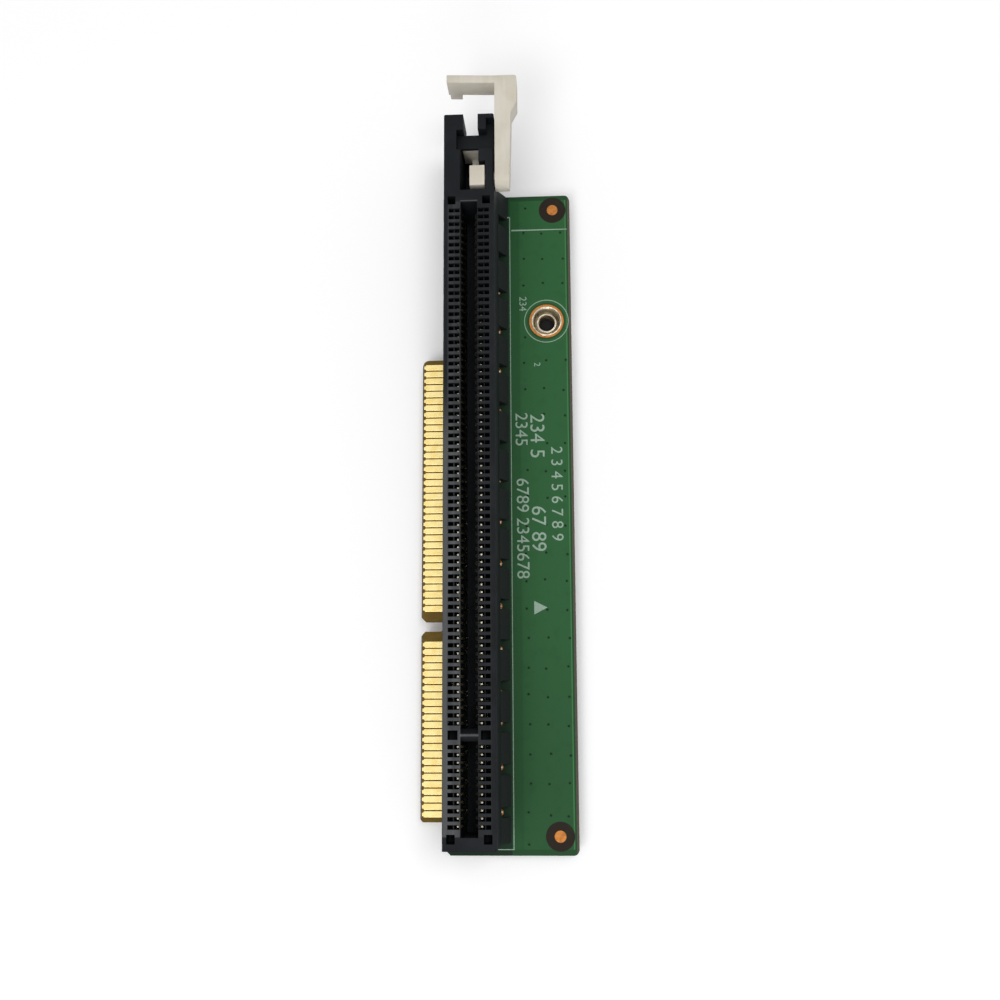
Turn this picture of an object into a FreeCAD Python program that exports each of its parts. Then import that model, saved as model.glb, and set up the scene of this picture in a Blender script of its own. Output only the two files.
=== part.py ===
import FreeCAD
import Part
import os
from FreeCAD import Vector as V

# Riser card: a board with a gold-finger tongue, a card slot of 164 contacts with an end latch,
# and a threaded standoff. Sizes are in millimetres.
# Working frame: X = 0 on the slot's centreline, Y = 0 at the slot's key, Z = 0 on the board's top.
# The solids are moved at the end, so that the origin is under the middle of the whole part.

# Board
board_thickness = 1.6
board_left = -4.1
board_right = 13.95
board_bottom = -16.2
board_top = 78.2
board_corner_radius = 0.8
board_corner_chamfer = 0.6
score_width = 0.35
score_depth = 0.45

# Tongue with the gold fingers
tongue_reach = 3.6
finger_pitch = 1.0
fingers_above_notch = 36
fingers_below_notch = 24
finger_key_half = 2.5
tongue_margin = 1.07
notch_centre = 14.74
notch_width = 1.4
notch_depth = 3.3
notch_mouth_chamfer = 0.6
tongue_corner_radius = 1.0
tongue_corner_chamfer = 0.4
tongue_bevel_width = 0.25
tongue_bevel_depth = 0.4
finger_width = 0.72
finger_thickness = 0.05
finger_foot_gap = 0.2

# Slot: contacts
contact_pitch = 1.0
contacts_above_key = 71
contacts_below_key = 11
contact_key_half = 1.5
contact_width = 0.4
contact_thickness = 0.24
row_inner = 1.25
row_outer = 3.25
tail_below_board = 1.5
hole_size = 0.7
knuckle_height = 8.7
knuckle_gap_half = 0.82
tip_height = 9.9
tip_offset = 1.2
inner_bend_height = 3.0
outer_bend_height = 0.5

# Slot: housing
housing_height = 11.25
housing_half_width = 3.5
housing_edge_chamfer = 0.2
foot_half_width = 4.5
skirt_height = 2.5
skirt_end_inset = 0.1
end_wall = 1.7
slot_half_width = 1.15
slot_rail_half_width = 0.9
slot_floor_height = 3.35
slot_end_margin = 1.3
cavity_half_span = 2.8
cavity_length = 0.58
recess_half_width = 3.6
recess_height = 4.6
key_rib_half = 0.8
key_ridge_half = 0.1
key_roof_drop = 1.0
core_near = 1.5
core_length = 1.2
core_depth = 3.0
end_core_near = 1.85
end_core_far = 2.95
end_core_offset = 0.2
window_pitch = 5.62
window_count = 16
window_first = 73.9
window_length = 1.45
window_height = 2.3
window_depth = 0.6
peg_radius = 1.175
peg_clearance = 0.05
peg_length = 1.4

# End tower that carries the latch
tower_length = 11.3
tower_floor = 1.5
tower_step_gap = 0.4
tower_lift = 0.4
prong_underside = 5.6
well_left = -1.25
well_right = 2.3
well_end = 82.92
throat_right = 1.35
throat_start = 78.75
prong_gap_left = -0.79
prong_gap_right = 1.26
bridge_start = 81.45
bridge_top_drop = 1.9
bridge_thickness = 0.5
pocket_start = 80.55
pocket_left = -1.75
pocket_right = 2.4
pocket_end = 83.5
relief_end = 85.2

# Latch: one moulding that turns on its own shaft
pivot_y = 76.6
pivot_height = 9.85
shaft_radius = 1.05
bearing_clearance = 0.05
lever_gap = 0.15
lever_pivot_width = 1.95
lever_neck_width = 2.28
lever_wide_width = 3.1
lever_half_height = 1.75
lever_taper_start = 85.75
lever_taper_end = 87.3
handle_end = 91.67
handle_slant = 0.3
handle_thickness = 1.15
handle_left = -3.1
handle_tooth_inset = 0.2
handle_tooth_width = 1.7
handle_tooth_height = 1.3
handle_corner_radius = 0.35
hub_side_gap = 0.1
hub_width = 2.1
hub_back = 1.4
hub_front = 1.53
hub_rise = 1.35
hub_fall = 1.1
leg_thickness = 1.15
hook_drop = 5.35
hook_arm_thickness = 1.3
hook_left = -1.05
hook_right = 1.15
hook_reach = 5.9
hook_thickness = 1.0
hook_top_drop = 1.3

# Standoff in the board's plated hole
standoff_x = 10.35
standoff_y = 58.9
standoff_bore_radius = 1.1
standoff_pilot_radius = 1.5
standoff_pilot_depth = 1.0
standoff_barrel_radius = 2.75
standoff_hole_radius = 2.1
standoff_pad_radius = 2.5
solder_top_drop = 0.15
solder_side_gap = 0.02
pad_thickness = 0.05

# Optical targets
target_radius = 0.79
target_x = 11.4
target_top_y = 75.95
target_bottom_y = -13.7

# Cutting bodies run past the faces that they cut by this much
cut_margin = 1.0

tongue_left = board_left - tongue_reach
tongue_top = notch_centre + finger_key_half + (fingers_above_notch - 1) * finger_pitch + tongue_margin
tongue_bottom = notch_centre - finger_key_half - (fingers_below_notch - 1) * finger_pitch - tongue_margin
last_above = contact_key_half + (contacts_above_key - 1) * contact_pitch
last_below = -contact_key_half - (contacts_below_key - 1) * contact_pitch
slot_top = last_above + slot_end_margin
slot_bottom = last_below - slot_end_margin
housing_top = slot_top + end_wall
housing_bottom = slot_bottom - end_wall
tower_top = housing_top + tower_length
skirt_top = board_top - skirt_end_inset


def line_wire(points):
    return Part.makePolygon([*points, points[0]])


def plate(points, direction):
    return Part.Face(line_wire(points)).extrude(direction)


def box(x0, x1, y0, y1, z0, z1):
    return Part.makeBox(x1 - x0, y1 - y0, z1 - z0, V(x0, y0, z0))


def rod_x(x0, x1, y, z, radius):
    return Part.makeCylinder(radius, x1 - x0, V(x0, y, z), V(1, 0, 0))


def disc(x, y, z, radius, height):
    return Part.makeCylinder(radius, height, V(x, y, z))


def ring(x, y, z, radius, hole, height):
    return disc(x, y, z, radius, height).cut(disc(x, y, z, hole, height))


def corner_arc(start, corner, end):
    # Arc through a rounded right-angled corner, from start to end.
    centre = start + end - corner
    middle = centre + (corner - centre).normalize() * (start - centre).Length
    return Part.Arc(start, middle, end).toShape()


def contact_rows():
    ys = [contact_key_half + i * contact_pitch for i in range(contacts_above_key)]
    ys += [-contact_key_half - i * contact_pitch for i in range(contacts_below_key)]
    return ys


def is_outer_row(y, side):
    # Neighbouring tails alternate between the inner and the outer row of holes.
    step = round((y - contact_key_half) / contact_pitch)
    return step % 2 == (0 if side > 0 else 1)


def contacts_of(side, outer):
    return [y for y in contact_rows() if is_outer_row(y, side) == outer]


def tail_x(outer):
    return row_outer if outer else row_inner


def notch_points():
    # The notch in the tongue, from its upper mouth corner to its lower one, with a round end.
    half = notch_width / 2
    chamfer = notch_mouth_chamfer
    high = notch_centre + half
    low = notch_centre - half
    straight_end = tongue_left + notch_depth - half
    return [
        V(tongue_left, high + chamfer, 0),
        V(tongue_left + chamfer, high, 0),
        V(straight_end, high, 0),
        V(straight_end + half, notch_centre, 0),
        V(straight_end, low, 0),
        V(tongue_left + chamfer, low, 0),
        V(tongue_left, low - chamfer, 0),
    ]


def board_outline():
    r = board_corner_radius
    c = board_corner_chamfer
    t = tongue_corner_radius
    tc = tongue_corner_chamfer
    upper = notch_points()
    start = V(board_left + c, board_bottom, 0)
    a = V(board_right - r, board_bottom, 0)
    b = V(board_right, board_bottom + r, 0)
    d = V(board_right, board_top - r, 0)
    e = V(board_right - r, board_top, 0)
    f = V(board_left + c, board_top, 0)
    g = V(board_left, board_top - c, 0)
    h = V(board_left, tongue_top, 0)
    i = V(tongue_left + t, tongue_top, 0)
    j = V(tongue_left, tongue_top - t, 0)
    k = V(tongue_left, tongue_bottom + tc, 0)
    m = V(tongue_left + tc, tongue_bottom, 0)
    n = V(board_left, tongue_bottom, 0)
    p = V(board_left, board_bottom + c, 0)
    edges = [
        Part.makeLine(start, a),
        corner_arc(a, V(board_right, board_bottom, 0), b),
        Part.makeLine(b, d),
        corner_arc(d, V(board_right, board_top, 0), e),
        Part.makeLine(e, f),
        Part.makeLine(f, g),
        Part.makeLine(g, h),
        Part.makeLine(h, i),
        corner_arc(i, V(tongue_left, tongue_top, 0), j),
        Part.makeLine(j, upper[0]),
        Part.makeLine(upper[0], upper[1]),
        Part.makeLine(upper[1], upper[2]),
        Part.Arc(upper[2], upper[3], upper[4]).toShape(),
        Part.makeLine(upper[4], upper[5]),
        Part.makeLine(upper[5], upper[6]),
        Part.makeLine(upper[6], k),
        Part.makeLine(k, m),
        Part.makeLine(m, n),
        Part.makeLine(n, p),
        Part.makeLine(p, start),
    ]
    return Part.Wire(edges)


def square_wire(x, y, size):
    h = size / 2
    return line_wire([V(x - h, y - h, 0), V(x + h, y - h, 0), V(x + h, y + h, 0), V(x - h, y + h, 0)])


def circle_wire(x, y, radius):
    return Part.Wire([Part.makeCircle(radius, V(x, y, 0))])


def peg_places():
    return [(0, 0), (0, (housing_top + board_top) / 2)]


def edge_bevels(edge, outward, width, depth, low, high):
    # The two cutting bars that bevel an upright edge of the board, above and below.
    beyond = edge + outward * width
    inside = edge - outward * width
    bars = []
    for face, down in ((0, -depth), (-board_thickness, depth)):
        corners = [(beyond, face), (inside, face), (edge, face + down), (beyond, face + down)]
        bars.append(plate([V(x, low, z) for x, z in corners], V(0, high - low, 0)))
    return bars


def make_board():
    holes = [circle_wire(standoff_x, standoff_y, standoff_hole_radius)]
    holes += [circle_wire(x, y, peg_radius + peg_clearance) for x, y in peg_places()]
    for side in (-1, 1):
        for outer in (False, True):
            holes += [square_wire(side * tail_x(outer), y, hole_size) for y in contacts_of(side, outer)]
    face = Part.makeFace([board_outline(), *holes], "Part::FaceMakerBullseye")
    board = face.extrude(V(0, 0, -board_thickness))
    # The tongue is bevelled to enter its socket, and the right edge keeps its scored break line.
    low = tongue_bottom - cut_margin
    high = tongue_top + cut_margin
    bevels = edge_bevels(tongue_left, -1, tongue_bevel_width, tongue_bevel_depth, low, high)
    low = board_bottom - cut_margin
    high = board_top + cut_margin
    bevels += edge_bevels(board_right, 1, score_width, score_depth, low, high)
    return board.cut(bevels)


def finger_rows(above):
    if above:
        return [notch_centre + finger_key_half + i * finger_pitch for i in range(fingers_above_notch)]
    return [notch_centre - finger_key_half - i * finger_pitch for i in range(fingers_below_notch)]


def make_fingers(above, front):
    # Plated copper pads, from the tongue's bevel to just short of the housing's foot.
    base = 0 if front else -board_thickness
    height = finger_thickness if front else -finger_thickness
    z0, z1 = sorted((base, base + height))
    half = finger_width / 2
    outer = tongue_left + tongue_bevel_width
    inner = -foot_half_width - finger_foot_gap
    return Part.makeCompound([box(outer, inner, y - half, y + half, z0, z1) for y in finger_rows(above)])


def make_contact(y, side, outer):
    # A blanked spring: its tail stands in the board, and its beam leans in to the knuckle,
    # above which the tip slopes back to let the card's edge in.
    t = contact_thickness
    x = tail_x(outer)
    bottom = -board_thickness - tail_below_board
    profile = [
        (x - t / 2, bottom),
        (x + t / 2, bottom),
        (x + t / 2, outer_bend_height if outer else inner_bend_height),
        (tip_offset, tip_height),
        (knuckle_gap_half, knuckle_height),
    ]
    if outer:
        profile.append((x - t / 2, outer_bend_height))
    points = [V(side * px, y - contact_width / 2, pz) for px, pz in profile]
    return plate(points, V(0, contact_width, 0))


def make_contacts(side, outer):
    return Part.makeCompound([make_contact(y, side, outer) for y in contacts_of(side, outer)])


def housing_section(y0, y1, foot):
    # Cross-section of the housing: bevelled mouth edges, upright walls and a flared skirt.
    w = housing_half_width
    c = housing_edge_chamfer
    h = housing_height
    right = [(w, skirt_height if foot > w else 0), (w, h - c), (w - c, h)]
    if foot > w:
        right.insert(0, (foot, 0))
    left = [(-x, z) for x, z in reversed(right)]
    points = [V(x, y0, z) for x, z in right + left]
    return plate(points, V(0, y1 - y0, 0))


def recess(side, y0, y1):
    # Open space under the housing, where the tails spread to their rows.
    profile = [
        (slot_rail_half_width, 0),
        (recess_half_width, 0),
        (cavity_half_span, recess_height),
        (slot_rail_half_width, recess_height),
    ]
    return plate([V(side * x, y0, z) for x, z in profile], V(0, y1 - y0, 0))


def slot_comb(ys, y0, y1):
    # The slot and its contact cavities in one outline, like a comb with teeth on both sides.
    half = cavity_length / 2
    s = slot_half_width
    right = [V(s, y0, slot_floor_height)]
    for y in sorted(ys):
        low, high = y - half, y + half
        for x, edge in ((s, low), (cavity_half_span, low), (cavity_half_span, high), (s, high)):
            right.append(V(x, edge, slot_floor_height))
    right.append(V(s, y1, slot_floor_height))
    left = [V(-p.x, p.y, p.z) for p in reversed(right)]
    return plate(right + left, V(0, 0, housing_height - slot_floor_height))


def core_pocket(side, y, near, far):
    half = core_length / 2
    x0, x1 = sorted((side * near, side * far))
    return box(x0, x1, y - half, y + half, housing_height - core_depth, housing_height)


def key_slope(side):
    # The key rib has a roof, which guides the card's notch over it.
    h = housing_height
    s = slot_half_width
    near = side * key_ridge_half
    far = side * key_rib_half
    return plate([V(-s, near, h), V(-s, far, h), V(-s, far, h - key_roof_drop)], V(2 * s, 0, 0))


def make_slot_housing():
    body = housing_section(housing_bottom, skirt_top, foot_half_width)
    tower = housing_section(skirt_top, tower_top, housing_half_width)
    body = body.fuse(tower)
    groups = [
        ([y for y in contact_rows() if y > 0], key_rib_half, slot_top),
        ([y for y in contact_rows() if y < 0], slot_bottom, -key_rib_half),
    ]
    cuts = []
    for ys, y0, y1 in groups:
        cuts += [recess(side, y0, y1) for side in (-1, 1)]
        cuts.append(slot_comb(ys, y0, y1))
    for side in (-1, 1):
        cuts.append(core_pocket(side, 0, core_near, cavity_half_span))
        cuts.append(core_pocket(side, slot_top + end_core_offset, end_core_near, end_core_far))
        cuts.append(core_pocket(side, slot_bottom - end_core_offset, end_core_near, end_core_far))
        cuts.append(key_slope(side))
        for i in range(window_count):
            y = window_first - i * window_pitch
            half = window_length / 2
            x0, x1 = sorted((side * (housing_half_width - window_depth), side * (foot_half_width + cut_margin)))
            cuts.append(box(x0, x1, y - half, y + half, 0, window_height))
    body = body.cut(cuts)
    body = body.cut(tower_cuts())
    pegs = [disc(x, y, -peg_length, peg_radius, peg_length) for x, y in peg_places()]
    return body.fuse(pegs).removeSplitter()


def tower_cuts():
    h = housing_height
    step = board_top + tower_step_gap
    side = -housing_half_width - cut_margin
    end = tower_top + cut_margin
    under = plate(
        [
            V(side, step, 0),
            V(side, end, 0),
            V(side, end, prong_underside),
            V(side, pocket_end, prong_underside),
            V(side, pocket_end, tower_lift),
            V(side, step, tower_lift),
        ],
        V(-2 * side, 0, 0),
    )
    bridge_top = h - bridge_top_drop
    bridge_bottom = bridge_top - bridge_thickness
    well = box(well_left, well_right, housing_top, throat_start, tower_floor, h)
    throat = box(well_left, throat_right, throat_start, bridge_start, tower_floor, h)
    passage = box(well_left, throat_right, bridge_start, well_end, tower_floor, bridge_bottom)
    prong_gap = box(prong_gap_left, prong_gap_right, pocket_end, tower_top, prong_underside, h)
    pocket = box(pocket_left, pocket_right, pocket_start, pocket_end, bridge_top, h)
    relief = box(pocket_right, -side, pocket_start, relief_end, bridge_top, h)
    bearing = rod_x(well_right, -side, pivot_y, pivot_height, shaft_radius + bearing_clearance)
    return [under, well, throat, passage, prong_gap, pocket, relief, bearing]


def make_latch():
    lever_inner = housing_half_width + lever_gap
    z_top = pivot_height + lever_half_height
    z_low = pivot_height - lever_half_height
    end = handle_end - handle_slant
    round_end = V(0, pivot_y - lever_half_height, pivot_height)
    side_edges = [
        Part.makeLine(V(0, pivot_y, z_top), V(0, end, z_top)),
        Part.makeLine(V(0, end, z_top), V(0, end, z_low)),
        Part.makeLine(V(0, end, z_low), V(0, pivot_y, z_low)),
        Part.Arc(V(0, pivot_y, z_low), round_end, V(0, pivot_y, z_top)).toShape(),
    ]
    side_form = Part.Face(Part.Wire(side_edges)).extrude(V(lever_wide_width + cut_margin, 0, 0))
    side_form.translate(V(lever_inner, 0, 0))
    r = handle_corner_radius
    wide = lever_inner + lever_wide_width
    neck = lever_inner + lever_neck_width
    narrow = lever_inner + lever_pivot_width
    start_y = pivot_y - lever_half_height - cut_margin
    plan_edges = [
        Part.makeLine(V(lever_inner, start_y, 0), V(narrow, start_y, 0)),
        Part.makeLine(V(narrow, start_y, 0), V(neck, lever_taper_start, 0)),
        Part.makeLine(V(neck, lever_taper_start, 0), V(wide, lever_taper_end, 0)),
        Part.makeLine(V(wide, lever_taper_end, 0), V(wide, end - r, 0)),
        corner_arc(V(wide, end - r, 0), V(wide, end, 0), V(wide - r, end, 0)),
        Part.makeLine(V(wide - r, end, 0), V(lever_inner, end, 0)),
        Part.makeLine(V(lever_inner, end, 0), V(lever_inner, start_y, 0)),
    ]
    plan_form = Part.Face(Part.Wire(plan_edges)).extrude(V(0, 0, z_top + cut_margin))
    lever = side_form.common(plan_form)
    # The handle leans a little, so its free end stands further out than the lever's end.
    # Its free end reaches lower than the rest and makes a tooth for the fingertip.
    handle_low = z_low - handle_tooth_height
    handle_corners = [
        (handle_left, handle_end - handle_thickness),
        (lever_inner, end - handle_thickness),
        (lever_inner, end),
        (handle_left, handle_end),
    ]
    handle = plate([V(x, y, handle_low) for x, y in handle_corners], V(0, 0, z_top - handle_low))
    tooth_left = handle_left + handle_tooth_inset
    tooth_right = tooth_left + handle_tooth_width
    for x0, x1 in ((handle_left, tooth_left), (tooth_right, lever_inner)):
        handle = handle.cut(box(x0, x1, end - handle_thickness, handle_end, handle_low, z_low))
    hub_right = well_right - hub_side_gap
    hub_left = hub_right - hub_width
    shaft = rod_x(hub_right, lever_inner, pivot_y, pivot_height, shaft_radius)
    front = pivot_y + hub_front
    tip = pivot_y + hook_reach
    foot = pivot_height - hook_drop
    hub_low = pivot_height - hub_fall
    hub = box(hub_left, hub_right, pivot_y - hub_back, front, hub_low, pivot_height + hub_rise)
    leg = box(hub_left, hub_right, front - leg_thickness, front, foot, hub_low)
    arm = box(hub_left, hook_right, front - leg_thickness, tip, foot, foot + hook_arm_thickness)
    hook = box(hook_left, hook_right, tip - hook_thickness, tip, foot, pivot_height - hook_top_drop)
    return lever.fuse([handle, shaft, hub, leg, arm, hook]).removeSplitter()


def revolve_at(profile, x, y):
    face = Part.Face(line_wire([V(r, 0, z) for r, z in profile]))
    solid = face.revolve(V(0, 0, 0), V(0, 0, 1), 360)
    solid.translate(V(x, y, 0))
    return solid


def make_standoff():
    # A flanged barrel under the board, with a pilot that centres it in the plated hole.
    seat = -board_thickness
    bottom = seat - tail_below_board
    profile = [
        (standoff_bore_radius, bottom),
        (standoff_barrel_radius, bottom),
        (standoff_barrel_radius, seat),
        (standoff_pilot_radius, seat),
        (standoff_pilot_radius, -standoff_pilot_depth),
        (standoff_bore_radius, -standoff_pilot_depth),
    ]
    return revolve_at(profile, standoff_x, standoff_y)


def make_standoff_solder():
    # Solder fills the ring between the pilot and the plated hole, and is dished towards the pilot.
    inner = standoff_pilot_radius + solder_side_gap
    outer = standoff_hole_radius - solder_side_gap
    profile = [
        (inner, -board_thickness),
        (outer, -board_thickness),
        (outer, -solder_top_drop),
        (inner, -standoff_pilot_depth),
    ]
    return revolve_at(profile, standoff_x, standoff_y)


def build():
    nodes = {
        "circuit_board": make_board(),
        "edge_fingers_front_long": make_fingers(True, True),
        "edge_fingers_front_short": make_fingers(False, True),
        "edge_fingers_back_long": make_fingers(True, False),
        "edge_fingers_back_short": make_fingers(False, False),
        "slot_housing": make_slot_housing(),
        "contacts_left_inner": make_contacts(-1, False),
        "contacts_left_outer": make_contacts(-1, True),
        "contacts_right_inner": make_contacts(1, False),
        "contacts_right_outer": make_contacts(1, True),
        "retention_latch": make_latch(),
        "threaded_standoff": make_standoff(),
        "standoff_solder": make_standoff_solder(),
        "standoff_pad_front": ring(
            standoff_x, standoff_y, 0, standoff_pad_radius, standoff_hole_radius, pad_thickness
        ),
        "fiducial_top": disc(target_x, target_top_y, 0, target_radius, pad_thickness),
        "fiducial_bottom": disc(target_x, target_bottom_y, 0, target_radius, pad_thickness),
    }
    # The origin goes under the middle of the whole part, on the surface that the tails stand on.
    shift = V(
        -(tongue_left + board_right) / 2,
        -(board_bottom + handle_end) / 2,
        board_thickness + tail_below_board,
    )
    os.makedirs("parts", exist_ok=True)
    for name, shape in nodes.items():
        shape.translate(shift)
        shape.exportStep("parts/" + name + ".step")
        print(name, len(shape.Solids), "solids, volume", round(shape.Volume, 3), "valid", shape.isValid())


build()
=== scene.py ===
import bmesh
import bpy
import math
from mathutils import Matrix, Vector, noise as turbulence


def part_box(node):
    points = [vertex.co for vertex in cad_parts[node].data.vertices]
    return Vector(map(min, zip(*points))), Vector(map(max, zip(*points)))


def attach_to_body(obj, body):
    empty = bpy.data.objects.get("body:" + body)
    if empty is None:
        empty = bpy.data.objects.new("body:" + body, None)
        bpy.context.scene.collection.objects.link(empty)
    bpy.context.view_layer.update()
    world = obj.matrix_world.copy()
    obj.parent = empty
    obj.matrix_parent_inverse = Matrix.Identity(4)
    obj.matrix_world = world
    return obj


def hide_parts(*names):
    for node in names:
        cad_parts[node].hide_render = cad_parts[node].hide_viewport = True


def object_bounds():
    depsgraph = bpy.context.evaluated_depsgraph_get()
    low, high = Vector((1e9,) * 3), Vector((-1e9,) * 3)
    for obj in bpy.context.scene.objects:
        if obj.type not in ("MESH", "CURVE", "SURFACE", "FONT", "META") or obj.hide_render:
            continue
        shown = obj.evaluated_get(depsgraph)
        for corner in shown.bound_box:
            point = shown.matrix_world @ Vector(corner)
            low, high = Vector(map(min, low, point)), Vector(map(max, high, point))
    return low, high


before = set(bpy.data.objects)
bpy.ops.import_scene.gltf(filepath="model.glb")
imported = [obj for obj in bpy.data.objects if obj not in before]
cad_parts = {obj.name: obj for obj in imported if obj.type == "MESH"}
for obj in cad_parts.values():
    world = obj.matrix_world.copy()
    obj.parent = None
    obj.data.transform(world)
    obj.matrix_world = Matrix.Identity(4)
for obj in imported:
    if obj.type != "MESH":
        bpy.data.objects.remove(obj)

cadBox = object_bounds()
scene = bpy.context.scene
mm = 0.001
weldReach, flatAngle = 0.001 * mm, math.radians(1)
carrier = "board_assembly"  # the body that everything but the latch rides on

# places are in millimetres from the slot's key, on the board's upper face
keyAboveBoardEnd = 16.2
boardLow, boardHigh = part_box("circuit_board")
housingLow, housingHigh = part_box("slot_housing")
datum = Vector(((housingLow.x + housingHigh.x) / 2, boardLow.y + keyAboveBoardEnd * mm, boardHigh.z))
boardThickness = (boardHigh.z - boardLow.z) / mm
tongueEdge = (boardLow.x - datum.x) / mm
mouthHeight = (housingHigh.z - datum.z) / mm
floorDrop = (datum.z - cadBox[0][2]) / mm


def at(x, y, z):
    return datum + Vector((x, y, z)) * mm


def srgb(r, g, b):
    def curve(value):
        value /= 255
        return value / 12.92 if value <= 0.04045 else ((value + 0.055) / 1.055) ** 2.4
    return (curve(r), curve(g), curve(b), 1)


print("frame loaded")


# node trees: a Wire is a socket that Python's own operators can do sums with
class Wire:
    def __init__(self, owner, socket):
        self.owner = owner
        self.socket = socket

    def __add__(self, other):
        return self.owner.math("ADD", self, other)

    def __sub__(self, other):
        return self.owner.math("SUBTRACT", self, other)

    def __rsub__(self, other):
        return self.owner.math("SUBTRACT", other, self)

    def __mul__(self, other):
        return self.owner.math("MULTIPLY", self, other)

    __radd__ = __add__
    __rmul__ = __mul__

    def also(self, name):  # another output of the same node
        return Wire(self.owner, self.socket.node.outputs[name])


class Tree:
    def __init__(self, tree):
        self.tree = tree

    def node(self, kind, settings=None, sockets=None, out=0):
        made = self.tree.nodes.new(kind)
        for name, value in (settings or {}).items():
            setattr(made, name, value)
        for name, value in (sockets or {}).items():
            for entry in value if isinstance(value, list) else [value]:
                if isinstance(entry, Wire):
                    self.tree.links.new(entry.socket, made.inputs[name])
                else:
                    made.inputs[name].default_value = entry
        return Wire(self, made.outputs[out]) if len(made.outputs) else made

    def math(self, operation, *values):
        return self.node("ShaderNodeMath", {"operation": operation}, dict(enumerate(values)))

    def step(self, value, low, high):
        return self.node(
            "ShaderNodeMapRange",
            {"interpolation_type": "SMOOTHSTEP"},
            {"Value": value, "From Min": low, "From Max": high},
        )

    def blend(self, first, second, factor):
        return self.node("ShaderNodeMix", {"data_type": "RGBA"}, {0: factor, 6: first, 7: second}, 2)

    def distance(self, first, second):
        return self.node("ShaderNodeVectorMath", {"operation": "DISTANCE"}, {0: first, 1: second}, "Value")


class Finish(Tree):
    # one material, with the place on the part in millimetres as x, y and z
    def __init__(self, name):
        self.material = bpy.data.materials.new(name)
        self.material.use_nodes = True
        super().__init__(self.material.node_tree)
        self.tree.nodes.clear()
        raw = self.node("ShaderNodeTexCoord", out="Object")
        local = self.node("ShaderNodeVectorMath", {"operation": "SUBTRACT"}, {0: raw, 1: datum})
        self.place = self.node("ShaderNodeVectorMath", {"operation": "SCALE"}, {0: local, "Scale": 1 / mm})
        self.x = self.node("ShaderNodeSeparateXYZ", sockets={0: self.place})
        self.y = self.x.also("Y")
        self.z = self.x.also("Z")

    def past(self, value, limit, soft):
        return self.step(value, limit - soft, limit + soft)

    def between(self, value, low, high, soft=0.05):
        return self.past(value, low, soft) * (1 - self.past(value, high, soft))

    def reach(self, x, y):  # distance from an upright axis
        flat = self.node("ShaderNodeCombineXYZ", sockets={0: self.x, 1: self.y})
        return self.distance(flat, (x, y, 0))

    def noise(self, scale, detail, stretch=(1, 1, 1)):
        grid = self.node("ShaderNodeVectorMath", {"operation": "MULTIPLY"}, {0: self.place, 1: stretch})
        return self.node("ShaderNodeTexNoise", sockets={"Vector": grid, "Scale": scale, "Detail": detail})

    def bump(self, height, depth, strength):  # depth in millimetres
        return self.node(
            "ShaderNodeBump", sockets={"Height": height, "Distance": depth * mm, "Strength": strength}
        )

    def close(self, sockets):
        shader = self.node("ShaderNodeBsdfPrincipled", sockets=sockets)
        self.node("ShaderNodeOutputMaterial", sockets={"Surface": shader})
        return self.material


# meshes
def newObject(name, mesh, material):
    made = bpy.data.objects.new(name, mesh)
    scene.collection.objects.link(made)
    if not mesh.materials:
        mesh.materials.append(material)
    return made


def attach(made, replaced=(), body=carrier):
    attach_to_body(made, body)
    if replaced:
        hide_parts(*replaced)


def meshOf(name, points, faces, tidy=True):
    mesh = bpy.data.meshes.new(name)
    mesh.from_pydata(points, [], faces)
    if tidy:
        work = bmesh.new()
        work.from_mesh(mesh)
        bmesh.ops.remove_doubles(work, verts=work.verts, dist=weldReach)
        bmesh.ops.recalc_face_normals(work, faces=work.faces)
        work.to_mesh(mesh)
        work.free()
    mesh.update()
    return mesh


def smoothUnder(mesh, degrees):
    mesh.polygons.foreach_set("use_smooth", [True] * len(mesh.polygons))
    mesh.set_sharp_from_angle(angle=math.radians(degrees))
    return mesh


def joined(name, meshes):
    work = bmesh.new()
    for mesh in meshes:
        work.from_mesh(mesh)
    result = bpy.data.meshes.new(name)
    work.to_mesh(result)
    work.free()
    return result


def loft(sections):
    # skins a row of equal closed sections, and closes both ends
    around = len(sections[0])
    points = [point for section in sections for point in section]
    faces = [tuple(range(around)), tuple(range((len(sections) - 1) * around, len(sections) * around))]
    for i in range(len(sections) - 1):
        for j in range(around):
            k = (j + 1) % around
            faces.append((i * around + j, i * around + k, (i + 1) * around + k, (i + 1) * around + j))
    return points, faces


def turned(profileAt, segments, centre=(0, 0)):
    # a closed profile of (radius, height) turned about an upright axis; it may change with the angle
    points = []
    for i in range(segments):
        angle = 2 * math.pi * i / segments
        for radius, height in profileAt(angle):
            points.append(at(centre[0] + radius * math.cos(angle), centre[1] + radius * math.sin(angle), height))
    count = len(points) // segments
    faces = []
    for i in range(segments):
        n = (i + 1) % segments
        for j in range(count):
            k = (j + 1) % count
            faces.append((i * count + j, n * count + j, n * count + k, i * count + k))
    return points, faces


def evaluated(made):
    # the object as a plain mesh, with its modifiers or its text worked out
    return bpy.data.meshes.new_from_object(made.evaluated_get(bpy.context.evaluated_depsgraph_get()))


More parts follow.
